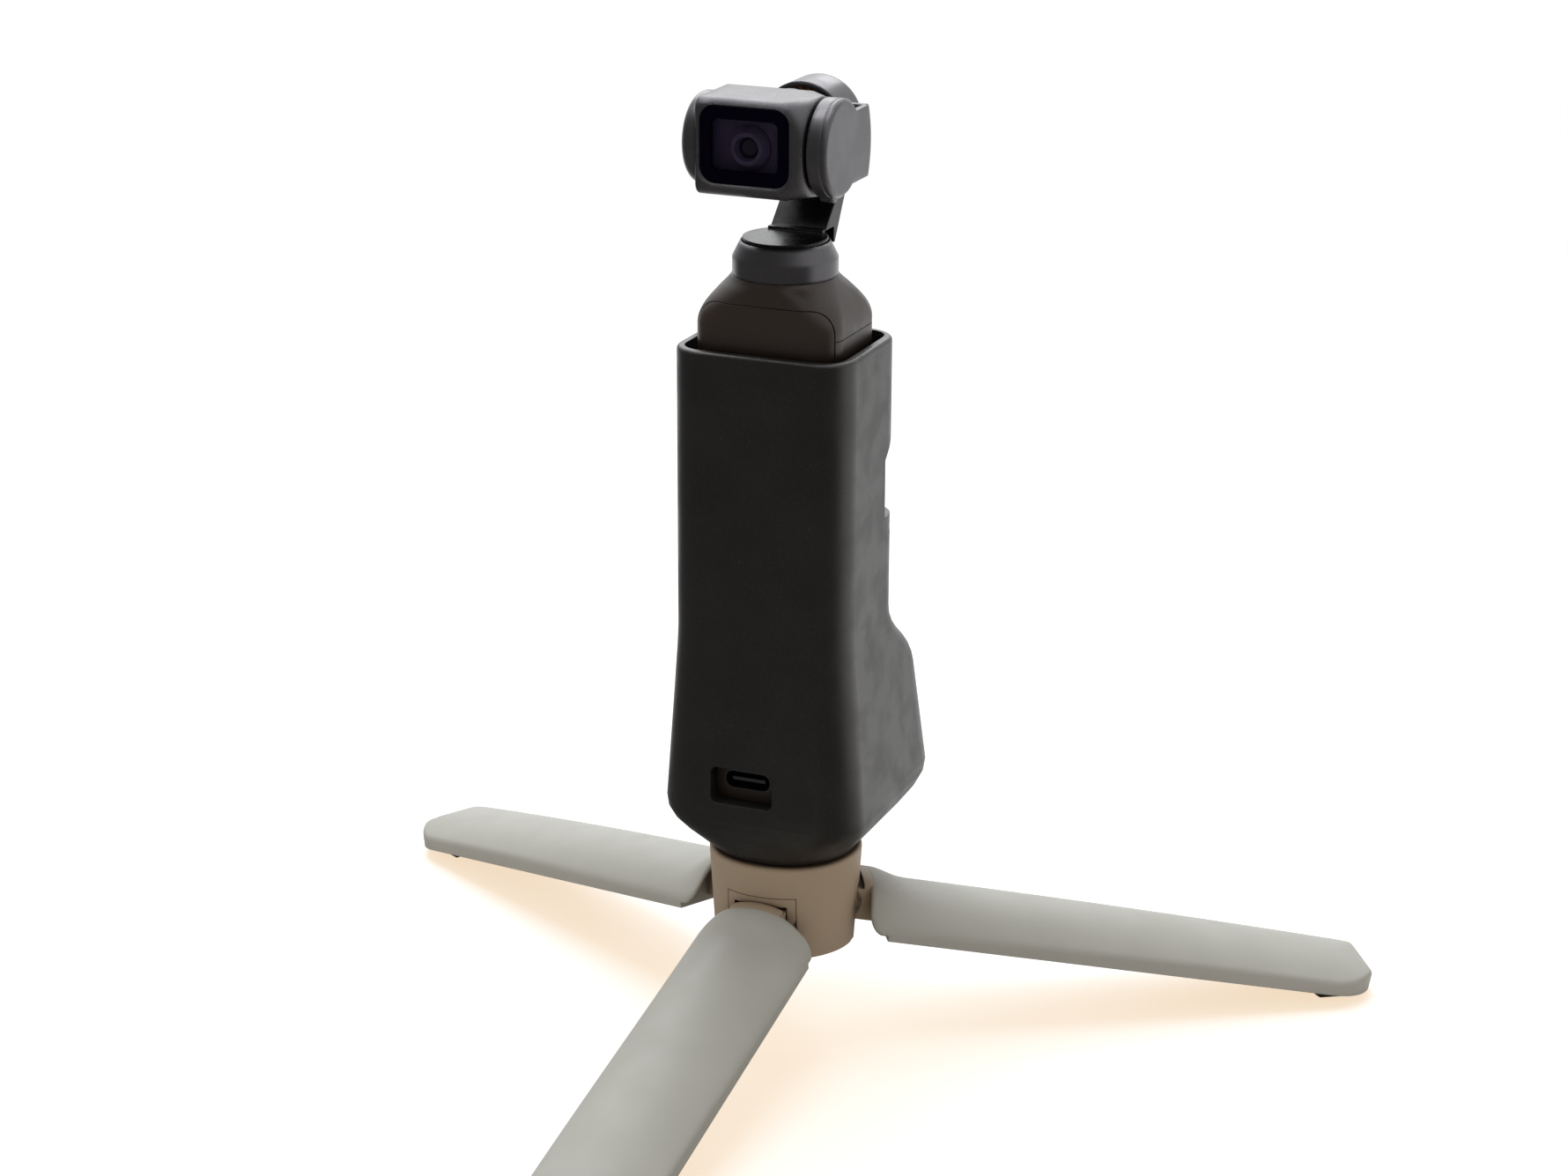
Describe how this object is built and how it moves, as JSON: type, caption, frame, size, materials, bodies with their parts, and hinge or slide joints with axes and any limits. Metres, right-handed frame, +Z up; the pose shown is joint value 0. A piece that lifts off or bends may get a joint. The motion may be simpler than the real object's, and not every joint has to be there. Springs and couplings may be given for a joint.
{
  "type": "pocket gimbal camera on mini tripod",
  "caption": "Slim handheld stabilised camera seated on its base module in a printed sleeve, screwed to a mini tripod with fold-down legs.",
  "frame": {"origin": "on the floor, under the axis that the camera's head pans about", "axes": "+Z is up, along the pan axis; -Y is the way the lens looks; +X is on the right when the lens faces the viewer"},
  "size_m": [0.211, 0.1874, 0.1858],
  "materials": {
    "battery_wrap": "wrapped pouch",
    "board_green": "solder mask",
    "button_black": "satin button",
    "button_red": "satin button",
    "card_black": "moulded card",
    "coil_copper": "enamelled winding",
    "display_black": "display panel",
    "gimbal_metal": "satin graphite paint on die-cast metal",
    "grip_plastic": "satin black plastic with a fine grain",
    "hub_plastic": "satin warm grey moulded plastic",
    "insert_brass": "turned brass",
    "leg_plastic": "satin light grey moulded plastic",
    "lens_black": "lens barrel",
    "lens_glass": "coated lens",
    "port_steel": "pressed steel",
    "printed_plastic": "matte charcoal print with a fine grain",
    "rotor_black": "black rotor",
    "screen_glass": "dark touch glass",
    "sensor": "sensor",
    "steel": "turned steel",
    "tread_rubber": "matte dark rubber",
    "window_glass": "dark window with a black border"
  },
  "bodies": {
    "tripod_and_grip": {"tripod_hub": "hub_plastic", "tripod_screw": "steel", "hinge_bracket_a": "hub_plastic", "hinge_bracket_b": "hub_plastic", "hinge_bracket_c": "hub_plastic", "hinge_pin_a": "steel", "hinge_pin_b": "steel", "hinge_pin_c": "steel", "case_sleeve": "printed_plastic", "case_thread_insert": "insert_brass", "base_shell": "grip_plastic", "base_socket": "port_steel", "base_board": "board_green", "base_plug": "port_steel", "handle_shell": "grip_plastic", "shoulder_cap": "grip_plastic", "lens_side_panel": "grip_plastic", "handle_end_cap": "grip_plastic", "handle_socket": "port_steel", "battery": "battery_wrap", "main_board": "board_green", "memory_card": "card_black", "screen_glass": "screen_glass", "screen_display": "display_black", "accessory_port_cover": "grip_plastic", "pan_motor_housing": "gimbal_metal", "pan_motor_coils": "coil_copper"},
    "leg_a": {"leg_shell_a": "leg_plastic", "leg_pad_a": "tread_rubber"},
    "leg_b": {"leg_shell_b": "leg_plastic", "leg_pad_b": "tread_rubber"},
    "leg_c": {"leg_shell_c": "leg_plastic", "leg_pad_c": "tread_rubber"},
    "pan_arm": {"yaw_arm": "gimbal_metal", "pan_rotor": "steel", "roll_motor_housing": "gimbal_metal", "roll_motor_cover": "gimbal_metal", "roll_motor_coils": "coil_copper"},
    "roll_bracket": {"roll_arm": "gimbal_metal", "roll_rotor": "gimbal_metal", "tilt_motor_housing": "gimbal_metal", "tilt_motor_coils": "coil_copper"},
    "camera_head": {"camera_housing": "gimbal_metal", "head_end_cap": "gimbal_metal", "camera_window": "window_glass", "lens_barrel": "lens_black", "lens_glass": "lens_glass", "image_sensor": "sensor", "tilt_rotor": "rotor_black"},
    "record_button": {"record_button": "button_red"},
    "function_button": {"function_button": "button_black"}
  },
  "joints": [
    {"name": "pan", "type": "hinge", "parent": "tripod_and_grip", "child": "pan_arm", "pos_m": [0, 0, 0.1582], "axis": [0, 0, 1], "range_deg": [-250, 90]},
    {"name": "roll", "type": "hinge", "parent": "pan_arm", "child": "roll_bracket", "pos_m": [-0.0013, 0.0058, 0.17635], "axis": [0, 1, 0], "range_deg": [-90, 90]},
    {"name": "tilt", "type": "hinge", "parent": "roll_bracket", "child": "camera_head", "pos_m": [0, -0.0073, 0.17695], "axis": [-1, 0, 0], "range_deg": [-180, 75]},
    {"name": "leg_a_fold", "type": "hinge", "parent": "tripod_and_grip", "child": "leg_a", "pos_m": [0.00029, -0.0095, 0.0265], "axis": [0.9997, 0.0262, 0], "range_deg": [0, 77]},
    {"name": "leg_b_fold", "type": "hinge", "parent": "tripod_and_grip", "child": "leg_b", "pos_m": [0.00938, 0.00725, 0.0265], "axis": [-0.5225, 0.8526, 0], "range_deg": [0, 77]},
    {"name": "leg_c_fold", "type": "hinge", "parent": "tripod_and_grip", "child": "leg_c", "pos_m": [-0.00967, 0.00675, 0.0265], "axis": [-0.4772, -0.8788, 0], "range_deg": [0, 77]},
    {"name": "record_button_press", "type": "slide", "parent": "tripod_and_grip", "child": "record_button", "axis": [0, -1, 0], "range_m": [0, 0.0004], "stiffness_N_per_m": 600},
    {"name": "function_button_press", "type": "slide", "parent": "tripod_and_grip", "child": "function_button", "axis": [0, -1, 0], "range_m": [0, 0.0004], "stiffness_N_per_m": 600}
  ]
}
